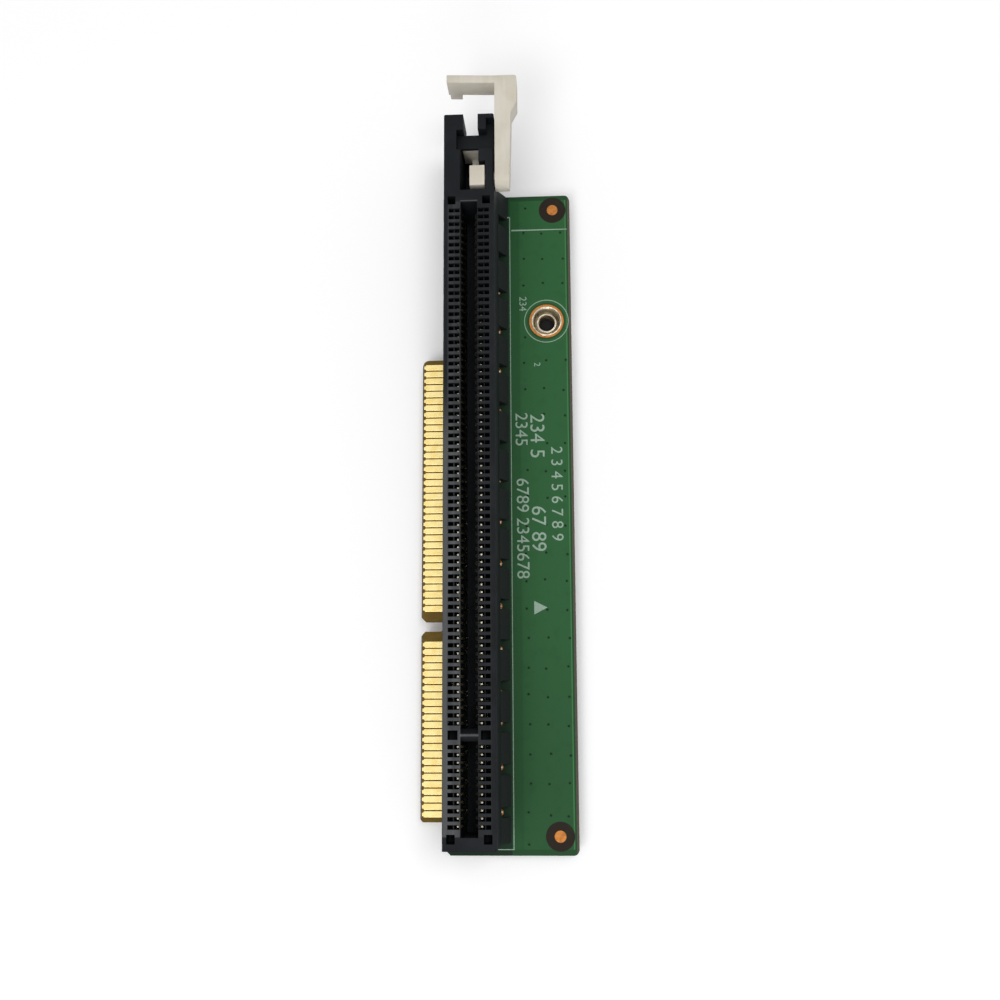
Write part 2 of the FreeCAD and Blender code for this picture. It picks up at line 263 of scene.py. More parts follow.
def softened(node, name, edge, material):
    # a merged copy of a CAD node with its edges broken
    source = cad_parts[node].data
    mesh = bpy.data.meshes.new(name)
    mesh.from_pydata([v.co for v in source.vertices], [], [p.vertices for p in source.polygons])
    work = bmesh.new()
    work.from_mesh(mesh)
    bmesh.ops.remove_doubles(work, verts=work.verts, dist=weldReach)
    bmesh.ops.dissolve_limit(work, angle_limit=flatAngle, verts=work.verts, edges=work.edges)
    work.to_mesh(mesh)
    work.free()
    made = newObject(name, mesh, material)
    bevel = made.modifiers.new("edges", "BEVEL")
    bevel.width = edge["width"] * mm
    bevel.segments = edge["segments"]
    bevel.limit_method = "ANGLE"
    bevel.angle_limit = math.radians(edge["from"])
    result = evaluated(made)
    made.modifiers.remove(bevel)
    made.data = smoothUnder(result, edge["from"])
    return made


# repeats: a tree makes points from its inputs, and a copy of the piece goes on each of them
def newPattern(name, kinds):
    group = bpy.data.node_groups.new(name, "GeometryNodeTree")
    for label, kind in {"Piece": "Object", "Finish": "Material", **kinds}.items():
        group.interface.new_socket(label, in_out="INPUT", socket_type="NodeSocket" + kind)
    group.interface.new_socket("Pieces", in_out="OUTPUT", socket_type="NodeSocketGeometry")
    tree = Tree(group)
    return tree, tree.node("NodeGroupInput")


def closePattern(tree, given, points):
    source = tree.node("GeometryNodeObjectInfo", sockets={"Object": given.also("Piece")}, out="Geometry")
    placed = tree.node("GeometryNodeInstanceOnPoints", sockets={"Points": points, "Instance": source})
    solid = tree.node("GeometryNodeRealizeInstances", sockets={"Geometry": placed})
    painted = tree.node("GeometryNodeSetMaterial", sockets={"Geometry": solid, "Material": given.also("Finish")})
    tree.node("NodeGroupOutput", sockets={0: painted})
    return tree.tree


def keyedRowTree():
    # a row on both sides of a key, as slot and tongue both have it
    tree, given = newPattern("keyedRow", {
        "Across": "Float", "First Above": "Float", "Count Above": "Int", "First Below": "Float",
        "Count Below": "Int", "Pitch": "Float", "Height": "Float",
    })
    lines = []
    for end, sign in (("Above", 1), ("Below", -1)):
        start = tree.node("ShaderNodeCombineXYZ", sockets={
            0: given.also("Across"), 1: given.also("First " + end), 2: given.also("Height"),
        })
        stride = tree.node("ShaderNodeCombineXYZ", sockets={1: given.also("Pitch") * sign})
        lines.append(tree.node(
            "GeometryNodeMeshLine",
            {"mode": "OFFSET", "count_mode": "TOTAL"},
            {"Count": given.also("Count " + end), "Start Location": start, "Offset": stride},
        ))
    return closePattern(tree, given, tree.node("GeometryNodeJoinGeometry", sockets={0: lines}))


def grow(name, group, values):
    # gives a tree its inputs, and takes the mesh that it makes
    made = newObject(name, bpy.data.meshes.new(name), values["Finish"])
    pattern = made.modifiers.new("pattern", "NODES")
    pattern.node_group = group
    for item in group.interface.items_tree:
        if item.in_out == "INPUT":
            pattern[item.identifier] = values[item.name]
    result = evaluated(made)
    bpy.data.objects.remove(made)
    return result


keyedRow = keyedRowTree()
# contacts and gold fingers on each side of their key
slotRow = {"pitch": 1.0, "above": 71, "below": 11, "keyHalf": 1.5, "key": 0}
tongueRow = {"pitch": 1.0, "above": 36, "below": 24, "keyHalf": 2.5, "key": 14.74}
innerRow, outerRow = 1.25, 3.25  # the two rows of tails on each side


def everyStep(row):
    # places and counts for a row with a piece at every step
    return {
        "First Above": datum.y + (row["key"] + row["keyHalf"]) * mm, "Count Above": row["above"],
        "First Below": datum.y + (row["key"] - row["keyHalf"]) * mm, "Count Below": row["below"],
        "Pitch": row["pitch"] * mm,
    }


def slotRuns(outer, side):
    # neighbouring contacts alternate between the rows, and the two sides are one step apart
    late = 0 if outer == (side > 0) else 1
    stride = 2 * slotRow["pitch"]
    return {
        "First Above": datum.y + (slotRow["keyHalf"] + late) * mm,
        "Count Above": (slotRow["above"] + 1 - late) // 2,
        "First Below": datum.y - (slotRow["keyHalf"] + 1 - late) * mm,
        "Count Below": (slotRow["below"] + late) // 2,
        "Pitch": stride * mm,
    }


def growRow(name, mesh, material, runs, across, height):
    piece = newObject(name + "Piece", mesh, material)
    values = {"Piece": piece, "Finish": material, "Across": datum.x + across * mm, "Height": datum.z + height * mm}
    result = grow(name, keyedRow, {**values, **runs})
    bpy.data.objects.remove(piece)
    return result


def local(points):
    # from places on the part to a piece that a row will carry
    return [Vector(point) - datum for point in points]


# finishes
maskLook = {
    "pour": srgb(44, 93, 53), "bare": srgb(34, 72, 42), "band": srgb(39, 86, 48), "shaded": srgb(22, 46, 29),
    "stain": srgb(30, 66, 38), "tongue": srgb(122, 98, 40), "tongueDark": srgb(92, 72, 28),
    "edge": srgb(100, 95, 86), "edgeDark": srgb(66, 54, 38), "window": srgb(38, 30, 24), "rim": srgb(66, 122, 72),
    "pourLeft": 6.35, "pourRight": 13.3, "pourSoft": 0.3, "pourEnds": (-15.4, 77.5),
    "silkLine": 5.1, "tongueMask": -4.3, "lowEndShade": (-8, 24), "lowEndShadeFade": 0.45,
    "targets": ((11.4, 75.95), (11.4, -13.7)), "targetWindow": 1.97,
    "standoff": (10.35, 58.9), "standoffWindow": 2.62, "skin": 0.03, "plies": 34, "weave": 11,
}


def makeMask():
    look = maskLook
    f = Finish("solderMask")
    mottle = f.noise(0.5, 4)
    # paler over the wide area beside the standoff, and a little paler in the band next to the slot's line
    soft, right, silk, window = look["pourSoft"], look["pourRight"], look["silkLine"], look["standoffWindow"]
    along = f.between(f.y, *look["pourEnds"])
    pastLeft = f.past(f.x, look["pourLeft"], soft)
    pour = pastLeft * (1 - f.past(f.x, right, 0.03)) * along
    pour = pour * f.step(f.reach(*look["standoff"]), window, window + soft)
    colour = f.blend(look["bare"], look["pour"], pour)
    band = f.past(f.x, silk, 0.05) * (1 - pastLeft) * along
    colour = f.blend(colour, look["band"], band)
    # painted shade: the mask turns darker towards the board's low end
    colour = f.blend(colour, look["bare"], (1 - f.step(f.y, *look["lowEndShade"])) * look["lowEndShadeFade"])
    lip = f.between(f.x, right - 0.1, right + 0.06, 0.04) * along
    colour = f.blend(colour, look["rim"], lip)
    # painted shade: the mask under the slot's skirt is darker
    colour = f.blend(look["shaded"], colour, f.step(f.x, silk - 0.3, silk - 0.1))
    for centre in look["targets"]:
        colour = f.blend(look["window"], colour, f.past(f.reach(*centre), look["targetWindow"], 0.03))
    colour = f.blend(colour, look["stain"], f.step(mottle, 0.5, 0.8) * 0.25)
    resin = f.noise(2.2, 3, (0.4, 1, 6))
    tongue = f.blend(look["tongue"], look["tongueDark"], resin)
    colour = f.blend(colour, tongue, 1 - f.past(f.x, look["tongueMask"], 0.05))
    # the cut edge shows the plies of the laminate
    inside = f.between(f.z, look["skin"] - boardThickness, -look["skin"], 0.01)
    plies = f.math("SINE", f.z * look["plies"] + resin * 3) * 0.5 + 0.5
    edge = f.blend(look["edge"], look["edgeDark"], plies * 0.6)
    colour = f.blend(colour, edge, inside)
    weave = f.math("SINE", f.x * look["weave"]) * f.math("SINE", f.y * look["weave"])
    relief = weave * 0.25 + f.noise(3, 3) + plies * inside
    return f.close({
        "Base Color": colour,
        "Roughness": 0.38 + mottle * 0.14 + inside * 0.3,
        "Normal": f.bump(relief, 0.012, 0.35),
        "Specular IOR Level": 0.1,
    })


goldLook = {"base": srgb(243, 223, 156), "deep": srgb(237, 208, 128), "dragged": srgb(248, 232, 176)}


def makeGold():
    look = goldLook
    f = Finish("goldPlating")
    drag = f.noise(1.4, 4, (0.5, 14, 1))
    cloud = f.noise(0.9, 3)
    colour = f.blend(look["base"], look["deep"], f.step(cloud, 0.35, 0.75))
    colour = f.blend(colour, look["dragged"], f.step(drag, 0.5, 0.7) * 0.5)
    return f.close({
        "Base Color": colour,
        "Metallic": 1.0,
        "Roughness": 0.2 + drag * 0.14,
        "Normal": f.bump(drag + f.noise(7, 2) * 0.4, 0.006, 0.18),
    })


nylonLook = {
    "base": srgb(21, 24, 27), "pale": srgb(29, 32, 35), "wearAndHighlight": srgb(106, 108, 109), "skirt": srgb(36, 41, 40),
    "topDepths": (0.5, 0.05), "slotEnds": (-12.7, 72.8), "bars": (1.1, 2.9), "rim": (2.9, 3.7), "ridge": (0, 1.2),
    "keyRidge": (-0.16, 0.16), "endRidge": (72.8, 72.96), "barsFade": (30, 60), "rimFade": (36, 48),
    "skirtFrom": (3.4, 3.6), "skirtTop": (2.3, 2.7),
}


def makeNylon():
    look = nylonLook
    f = Finish("blackNylon")
    cloud = f.noise(0.25, 4)
    grain = f.noise(16, 3)
    flow = f.noise(1.1, 3, (1, 0.12, 1))
    size = f.math("ABSOLUTE", f.x)
    top = f.step(f.z, *(mouthHeight - depth for depth in look["topDepths"]))
    inSlot = f.between(f.y, *look["slotEnds"], 0.15)
    # the bars and rim on the finger side are paler, partly worn and partly a painted highlight fading towards the
    # latch; the key's ridge and the slot's end carry a painted highlight
    fingerSide = 1 - f.past(f.x, 0, 0.3)
    bars = f.between(size, *look["bars"], 0.1) * inSlot * (0.1 + fingerSide * 0.9)
    rim = f.between(size, *look["rim"], 0.1) * inSlot * fingerSide * (1 - f.step(f.y, *look["rimFade"]))
    ridgeEnds = f.between(f.y, *look["keyRidge"]) + f.between(f.y, *look["endRidge"])
    ridge = f.between(size, *look["ridge"]) * ridgeEnds
    streaks = 0.5 + 0.5 * f.step(flow, 0.35, 0.7)
    fade = 1 - 0.7 * f.step(f.y, *look["barsFade"])
    wearAndHighlight = (bars * streaks * fade + rim * 0.85 + ridge * 0.7) * top
    colour = f.blend(look["base"], look["pale"], f.step(cloud, 0.35, 0.7))
    colour = f.blend(colour, look["wearAndHighlight"], wearAndHighlight * 0.62)
    # painted light: the skirt's slanted flanks are painted paler, as light falls on them
    skirt = f.step(size, *look["skirtFrom"]) * (1 - f.step(f.z, *look["skirtTop"]))
    colour = f.blend(colour, look["skirt"], skirt)
    return f.close({
        "Base Color": colour,
        "Roughness": 0.5 + grain * 0.18 - wearAndHighlight * 0.08,
        "Normal": f.bump(grain + flow * 0.5, 0.01, 0.5),
        "Specular IOR Level": 0.1,
    })


contactLook = {
    "tinDark": srgb(172, 168, 158), "tin": srgb(206, 202, 190), "giltDark": srgb(190, 181, 158),
    "gilt": srgb(218, 210, 190), "wearAndShade": srgb(40, 38, 34), "giltFrom": (5.5, 6.5), "shadeTo": (9.7, 10.0),
}


def makeContactMetal():
    look = contactLook
    f = Finish("contactMetal")
    drag = f.noise(5, 3, (1, 1, 0.3))
    gilt = f.step(f.z, *look["giltFrom"])
    tin = f.blend(look["tinDark"], look["tin"], drag)
    gold = f.blend(look["giltDark"], look["gilt"], drag)
    # painted shade: the knuckles on the finger side are darkened below the tips, where the slot shades them
    knuckleShade = (1 - f.past(f.x, 0, 0.3)) * (1 - f.step(f.z, *look["shadeTo"]))
    gold = f.blend(gold, look["wearAndShade"], knuckleShade * 0.85)
    return f.close({
        "Base Color": f.blend(tin, gold, gilt),
        "Metallic": 1.0,
        "Roughness": 0.24 + drag * 0.2,
        "Normal": f.bump(drag, 0.006, 0.4),
    })


ivoryLook = {
    "base": srgb(209, 203, 190), "deep": srgb(202, 195, 180), "flow": srgb(216, 211, 199), "speck": srgb(150, 140, 124),
}


def makeIvory():
    look = ivoryLook
    f = Finish("ivoryPlastic")
    cloud = f.noise(0.3, 4)
    flow = f.noise(0.8, 3, (1.6, 0.15, 1))
    grain = f.noise(14, 2)
    colour = f.blend(look["base"], look["deep"], f.step(cloud, 0.35, 0.7))
    colour = f.blend(colour, look["flow"], f.step(flow, 0.5, 0.75) * 0.5)
    specks = f.step(f.noise(5, 1), 0.74, 0.78)
    colour = f.blend(colour, look["speck"], specks * 0.35)
    return f.close({
        "Base Color": colour,
        "Roughness": 0.42 + grain * 0.12,
        "Normal": f.bump(grain + flow, 0.008, 0.4),
        "Specular IOR Level": 0.2,
    })


# the plainer finishes go from one tone to another in soft patches
tones = {
    "steel": (srgb(186, 176, 156), srgb(150, 140, 122)), "solder": (srgb(206, 198, 176), srgb(168, 158, 138)),
    "copper": (srgb(175, 114, 55), srgb(147, 87, 42)), "ink": (srgb(150, 172, 156), srgb(104, 134, 112)),
    "via": (srgb(34, 76, 42), srgb(44, 92, 52)), "viaHole": srgb(16, 30, 20),
}


def makeSteel():
    f = Finish("platedSteel")
    far = f.reach(*maskLook["standoff"])
    rings = f.math("SINE", far * 90 + f.noise(2, 2) * 3)
    cloud = f.noise(1.5, 3)
    return f.close({
        "Base Color": f.blend(*tones["steel"], f.step(cloud, 0.35, 0.7)),
        "Metallic": 1.0,
        "Roughness": 0.24 + cloud * 0.18,
        "Normal": f.bump(rings * 0.5 + cloud, 0.006, 0.5),
    })


def makeSolder():
    f = Finish("solder")
    cloud = f.noise(1.8, 3)
    frost = f.noise(11, 2)
    return f.close({
        "Base Color": f.blend(*tones["solder"], f.step(cloud, 0.35, 0.7)),
        "Metallic": 1.0,
        "Roughness": 0.16 + cloud * 0.3,
        "Normal": f.bump(cloud + frost * 0.15, 0.05, 0.5),
    })


def makeCopper():
    f = Finish("copperFoil")
    cloud = f.noise(1.6, 4)
    grain = f.noise(18, 2)
    return f.close({
        "Base Color": f.blend(*tones["copper"], f.step(cloud, 0.4, 0.75)),
        "Metallic": 0.85,
        "Roughness": 0.36 + grain * 0.2,
        "Normal": f.bump(grain, 0.004, 0.5),
    })


def makeInk():
    f = Finish("silkInk")
    wearAndShade = f.noise(6, 3)
    return f.close({
        "Base Color": f.blend(*tones["ink"], f.step(wearAndShade, 0.5, 0.75)),
        "Roughness": 0.55 + wearAndShade * 0.2,
        "Normal": f.bump(wearAndShade, 0.006, 0.4),
        "Specular IOR Level": 0.3,
    })


def makeVia():
    # the raised ring is covered by mask, and the hole in it is dark
    f = Finish("viaMask")
    half = boardThickness / 2
    lift = f.math("ABSOLUTE", f.z + half) - half
    cloud = f.noise(2, 2)
    green = f.blend(*tones["via"], cloud)
    return f.close({
        "Base Color": f.blend(tones["viaHole"], green, f.step(lift, 0.006, 0.012)),
        "Roughness": 0.35 + cloud * 0.15,
        "Normal": f.bump(cloud, 0.006, 0.3),
        "Specular IOR Level": 0.1,
    })


mask = makeMask()
gold = makeGold()
nylon = makeNylon()
contactMetal = makeContactMetal()
ivory = makeIvory()
steel = makeSteel()
solder = makeSolder()
copper = makeCopper()
ink = makeInk()
viaMask = makeVia()
print("finishes made")


# the board keeps its CAD form, and so do the bare copper marks
for node, material in {
    "circuit_board": mask, "standoff_pad_front": copper, "fiducial_top": copper, "fiducial_bottom": copper
}.items():
    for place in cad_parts[node].material_slots:
        place.material = material


# gold fingers: narrowed at the tongue's edge, with rolled edges
finger = {
    "outer": 0.25, "length": 2.75, "half": 0.405, "neck": 0.22, "neckEnd": 0.16, "shoulder": 0.3,
    "thick": 0.05, "roll": 0.025,
}


def fingerMesh(front):
    s = finger
    plan = [
        (0, -s["neck"]), (s["neckEnd"], -s["neck"]), (s["shoulder"], -s["half"]), (s["length"], -s["half"]),
        (s["length"], s["half"]), (s["shoulder"], s["half"]), (s["neckEnd"], s["neck"]), (0, s["neck"]),
    ]
    middle = s["length"] / 2
    sections = []
    for height, shrink in ((0, 0), (s["thick"] * 0.6, 0), (s["thick"], s["roll"])):
        z = height if front else -height
        sections.append([
            Vector((x + math.copysign(shrink, middle - x), y - math.copysign(shrink, y), z)) * mm for x, y in plan
        ])
    return meshOf("finger", *loft(sections))


def growFingers():
    across = tongueEdge + finger["outer"]
    for name, front, height in (("gold_fingers_front", True, 0), ("gold_fingers_back", False, -boardThickness)):
        mesh = growRow(name, fingerMesh(front), gold, everyStep(tongueRow), across, height)
        side = "front" if front else "back"
        replaced = ["edge_fingers_" + side + "_long", "edge_fingers_" + side + "_short"]
        attach(newObject(name, mesh, gold), replaced)


growFingers()
print("fingers made")


# contact springs: stamped strip, bent in to the knuckle and out again at the tip
spring = {
    "half": 0.2, "thick": 0.22, "tail": 3.1, "knuckle": (0.76, 8.7), "tip": (1.56, 10.15),
    "bendOuter": 0.5, "bendInner": 3.0, "leanIn": 0.1, "leanBelow": 0.7, "smooth": 40,
}


def springMesh(side, outer):
    s = spring
    row = outerRow if outer else innerRow
    kx, kz = s["knuckle"]
    tx, tz = s["tip"]
    bend = s["bendOuter"] if outer else s["bendInner"]

    def lean(t):
        return row + (kx + s["leanIn"] - row) * t, bend + (kz - s["leanBelow"] - bend) * t

    # each point is across, height and the share of the full width there
    line = [(row, -s["tail"], 0.6), (row, -s["tail"] + 0.35, 1), (row, bend - 0.3, 1)]
    line += [(*lean(t), 1) for t in (0.08, 0.5, 0.92)]
    line += [(kx + 0.03, kz - 0.35, 0.95), (kx, kz, 0.9), (kx + 0.07, kz + 0.4, 0.85)]
    line += [((kx + tx) / 2, (kz + tz) / 2 + 0.12, 0.85), (tx, tz - 0.2, 0.62), (tx, tz, 0.55)]
    sections = []
    for i, (x, z, width) in enumerate(line):
        before, after = line[max(i - 1, 0)], line[min(i + 1, len(line) - 1)]
        along = Vector((after[0] - before[0], after[1] - before[1])).normalized()
        off = Vector((along.y, -along.x)) * s["thick"] / 2
        half = s["half"] * width
        corners = ((off, half), (off, -half), (-off, -half), (-off, half))
        sections.append([Vector((side * (x + o.x) - side * row, y, z + o.y)) * mm for o, y in corners])
    return smoothUnder(meshOf("spring", *loft(sections)), s["smooth"])


def growSprings():
    banks = []
    for side in (-1, 1):
        for outer in (False, True):
            across = side * (outerRow if outer else innerRow)
            mesh = springMesh(side, outer)
            banks.append(growRow("springs", mesh, contactMetal, slotRuns(outer, side), across, 0))
    nodes = [f"contacts_{side}_{row}" for side in ("left", "right") for row in ("inner", "outer")]
    attach(newObject("contact_springs", joined("contact_springs", banks), contactMetal), nodes)


growSprings()
print("springs made")


# solder: a fillet round each tail under the board, and above it a dome in a copper ring at the outer tails
joint = {
    "core": 0.1, "foot": 0.52, "waist": 0.26, "neck": 0.17, "rise": 0.85, "segments": 8, "smooth": 50,
    "ringOuter": 0.5, "ringInner": 0.36, "ringHigh": 0.03, "domeHigh": 0.24,
}


def growJoints():
    s = joint
    under, core, inner, outerEdge, high = -boardThickness, s["core"], s["ringInner"], s["ringOuter"], s["ringHigh"]
    fillet = [
        (core, under), (s["foot"], under), (s["foot"] - 0.04, under - 0.05), (s["waist"], under - s["rise"] * 0.4),
        (s["neck"], under - s["rise"] * 0.8), (core, under - s["rise"]),
    ]
    dome = [(core, 0), (inner + 0.04, 0), (inner - 0.04, 0.08), (0.2, 0.22), (core, s["domeHigh"])]
    ring = [(inner, 0), (outerEdge, 0), (outerEdge - 0.02, high), (inner, high)]
    fillets, domes, rings = [], [], []
    for side in (-1, 1):
        for outer in (False, True):
            runs = slotRuns(outer, side)
            across = side * (outerRow if outer else innerRow)
            kinds = [(fillet, fillets)] + ([(dome, domes), (ring, rings)] if outer else [])
            for profile, bank in kinds:
                points, faces = turned(lambda angle: profile, s["segments"])
                mesh = smoothUnder(meshOf("joint", local(points), faces), s["smooth"])
                bank.append(growRow("joints", mesh, solder, runs, across, 0))
    attach(newObject("solder_joints", joined("solder_joints", fillets + domes), solder))
    attach(newObject("tail_pads", joined("tail_pads", rings), copper))


growJoints()
print("solder joints made")


# the slot's moulding: edges broken and the foot's lower edges moved out from where the CAD has them,
# with the lips that hold the springs back and the webs in the cavities
housing = {"width": 0.05, "segments": 1, "from": 30, "footFrom": 4.45, "footFlare": 0.22}
lip = {
    "inner": 1.15, "outer": 1.3, "drop": 0.04, "deep": 0.85, "leadIn": 0.12, "edge": 0.03,
    "ends": (-12.8, -0.8, 0.8, 72.8),
}
web = {"across": 2.05, "half": 0.085, "length": 0.58, "top": 0.32, "deep": 2.2, "crown": 0.04}


def growHousing():
    made = softened("slot_housing", "slot_moulding", housing, nylon)
    for point in made.data.vertices:
        across = point.co.x - datum.x
        if abs(across) > housing["footFrom"] * mm:
            point.co.x += math.copysign(housing["footFlare"] * mm, across)
    attach(made, ["slot_housing"])

    s = lip
    top, low = mouthHeight - s["drop"], mouthHeight - s["deep"]
    profile = [
        (s["inner"], low), (s["outer"], low), (s["outer"], top - s["edge"]), (s["outer"] - s["edge"], top),
        (s["inner"] + s["leadIn"], top), (s["inner"], top - s["leadIn"]),
    ]
    lips = []
    for side in (-1, 1):
        for start, end in (s["ends"][:2], s["ends"][2:]):
            sections = [[at(side * x, y, z) for x, z in profile] for y in (start, end)]
            lips.append(meshOf("lip", *loft(sections)))

    s = web
    half = s["length"] / 2
    sections = []
    top = mouthHeight - s["top"]
    for height, x in ((top - s["deep"], s["half"]), (top - s["crown"], s["half"]), (top, s["half"] - s["crown"])):
        sections.append([
            Vector((px, py, height)) * mm for px, py in ((-x, -half), (x, -half), (x, half), (-x, half))
        ])
    mesh = meshOf("web", *loft(sections))
    webs = [growRow("webs", mesh.copy(), nylon, everyStep(slotRow), side * s["across"], 0) for side in (-1, 1)]
    attach(newObject("slot_lips_and_webs", joined("slot_lips_and_webs", lips + webs), nylon))


growHousing()
print("slot moulding made")


# the latch: edges rounded as the mould leaves them
latch = {"width": 0.16, "segments": 2, "from": 30}
attach(softened("retention_latch", "latch_moulding", latch, ivory), ["retention_latch"], "latch")
print("latch made")


# standoff: turned, with its thread, and the solder that holds it
standoff = {
    "centre": maskLook["standoff"], "bore": 1.1, "pilot": 1.5, "barrel": 2.75, "top": -1.0, "chamfer": 0.12,
    "edge": 0.06, "threadPitch": 0.45, "threadDepth": 0.13, "samples": 26, "segments": 56, "smooth": 35,
    "solderOuter": 2.2, "solderLumps": 0.07, "lumpsRound": 3, "rim": 1.52, "solderSmooth": 70,
}


def makeStandoff():
    s = standoff
    seat, low = -boardThickness, -floorDrop
    top, cut, edge = s["top"], s["chamfer"], s["edge"]
    start, end = top - cut, low + cut

    def section(angle):
        outline = [
            (s["bore"] + cut, low), (s["barrel"] - cut, low), (s["barrel"], low + cut), (s["barrel"], seat - edge),
            (s["barrel"] - edge, seat), (s["pilot"], seat), (s["pilot"], top - edge), (s["pilot"] - edge, top),
            (s["bore"] + cut, top),
        ]
        for i in range(s["samples"] + 1):
            z = start + (end - start) * i / s["samples"]
            turn = (z / s["threadPitch"] + angle / (2 * math.pi)) % 1
            outline.append((s["bore"] + s["threadDepth"] * (1 - abs(2 * turn - 1)), z))
        return outline

    mesh = smoothUnder(meshOf("standoff", *turned(section, s["segments"], s["centre"])), s["smooth"])
    attach(newObject("standoff_turned", mesh, steel), ["threaded_standoff"])

    def pool(angle):
        radius = s["lumpsRound"]
        lump = s["solderLumps"] * turbulence.noise(Vector((radius * math.cos(angle), radius * math.sin(angle), 0)))
        inner, outer = s["rim"], s["solderOuter"] + lump
        return [
            (inner, seat + 0.05), (2.0, seat + 0.05), (2.05, -0.1), (2.11, 0.05), (outer, 0.055),
            (outer - 0.06, 0.1 + lump * 0.3), (2.02, 0.06 + lump), (1.88, -0.16 + lump),
            (1.72, -0.5 + lump), (1.6, -0.78), (inner, -0.9),
        ]

    mesh = smoothUnder(meshOf("standoff_fillet", *turned(pool, s["segments"], s["centre"])), s["solderSmooth"])
    attach(newObject("standoff_fillet", mesh, solder), ["standoff_solder"])

    foot = [
        (2.7, seat), (3.1, seat), (3.06, seat - 0.05), (2.86, seat - 0.14), (2.76, seat - 0.32), (2.7, seat - 0.32),
    ]
    around = turned(lambda angle: foot, s["segments"], s["centre"])
    mesh = smoothUnder(meshOf("standoff_foot", *around), s["solderSmooth"])
    attach(newObject("standoff_foot_solder", mesh, solder))


makeStandoff()
print("standoff made")


# printed ink: the slot's outline, the ring round the standoff, contact numbers and a scale of figures
printed = {
    "line": 0.11, "thick": 0.015, "right": 5.1, "top": 75.0, "bottom": -15.4, "hook": 0.35, "left": 2.8,
    "cross": 72.95, "crossGap": 0.25, "crossRight": 13.5, "ring": 3.18, "ringSteps": 72, "sharpest": 0.5,
    "triangle": ((8.16, 16.3), (10.0, 17.25), (8.16, 18.2)),
    "rows": (
        {"text": "2345", "size": 2.5, "across": 6.5, "middle": 42.8},
        {"text": "6789 2345678", "size": 2.5, "across": 6.6, "middle": 28.5},
        {"text": "234 5", "size": 2.9, "across": 8.75, "middle": 41.8},
        {"text": "67 89", "size": 2.9, "across": 8.85, "middle": 28.4},
        {"text": "2 3 4 5 6 7 8 9", "size": 2.3, "across": 11.5, "middle": 33.4},
        {"text": "234", "size": 1.5, "across": 6.9, "middle": 61.6},
        {"text": "2", "size": 1.3, "across": 8.9, "middle": 52.4},
    ),
}


def ribbon(points, width, closed=False):
    # a flat printed line with mitred corners
    count = len(points)
    sections = []
    for i, (x, y) in enumerate(points):
        before = points[i - 1] if closed or i else points[0]
        after = points[(i + 1) % count] if closed or i < count - 1 else points[-1]
        into, out = Vector((x, y)) - Vector(before), Vector(after) - Vector((x, y))
        into, out = (into or out).normalized(), (out or into).normalized()
        across = (into + out).normalized()
        reach = width / 2 / max(across.dot(into), printed["sharpest"])
        off = Vector((-across.y, across.x)) * reach
        high = printed["thick"]
        sections.append([
            at(x - off.x, y - off.y, 0), at(x + off.x, y + off.y, 0),
            at(x + off.x, y + off.y, high), at(x - off.x, y - off.y, high),
        ])
    points, faces = loft(sections)
    if closed:
        last = (count - 1) * 4
        faces = faces[2:] + [(last + j, last + (j + 1) % 4, (j + 1) % 4, j) for j in range(4)]
    return meshOf("ribbon", points, faces)


def numeral(body, size, x, y):
    text = bpy.data.curves.new("numeral", "FONT")
    text.body = body
    text.size = size * mm
    text.extrude = printed["thick"] / 2 * mm
    text.align_x = text.align_y = "CENTER"
    made = bpy.data.objects.new("numeral", text)
    scene.collection.objects.link(made)
    mesh = evaluated(made)
    bpy.data.objects.remove(made)
    mesh.transform(Matrix.Translation(at(x, y, printed["thick"] / 2)) @ Matrix.Rotation(-math.pi / 2, 4, "Z"))
    return mesh


def printBoard():
    s = printed
    wide, right, top, bottom = s["line"], s["right"], s["top"], s["bottom"]
    lines = [
        ribbon([(right - s["hook"], top), (right, top), (right, bottom), (s["left"], bottom)], wide),
        ribbon([(right + s["crossGap"], s["cross"]), (s["crossRight"], s["cross"])], wide),
    ]
    cx, cy = standoff["centre"]
    steps = [2 * math.pi * i / s["ringSteps"] for i in range(s["ringSteps"])]
    lines.append(ribbon([(cx + s["ring"] * math.cos(a), cy + s["ring"] * math.sin(a)) for a in steps], wide, True))
    for row in s["rows"]:
        lines.append(numeral(row["text"], row["size"], row["across"], row["middle"]))
    sections = [[at(x, y, z) for x, y in s["triangle"]] for z in (0, s["thick"])]
    lines.append(meshOf("triangle", *loft(sections)))
    made = newObject("printed_marks", joined("printed_marks", lines), ink)
    attach(made)


printBoard()
print("print made")


# vias: three loose columns over the bare side of the board, on both faces
via = {
    "columns": 3, "rows": 24, "width": 5.6, "length": 91.3, "centre": (10.0, 30.9), "jitter": 0.28, "seed": 7,
    "outer": 0.2, "hole": 0.13, "high": 0.018, "dish": 0.004, "slope": 0.05, "holeSlope": 0.02, "segments": 10,
    "standoffClear": 3.7, "targetClear": 2.5,
}


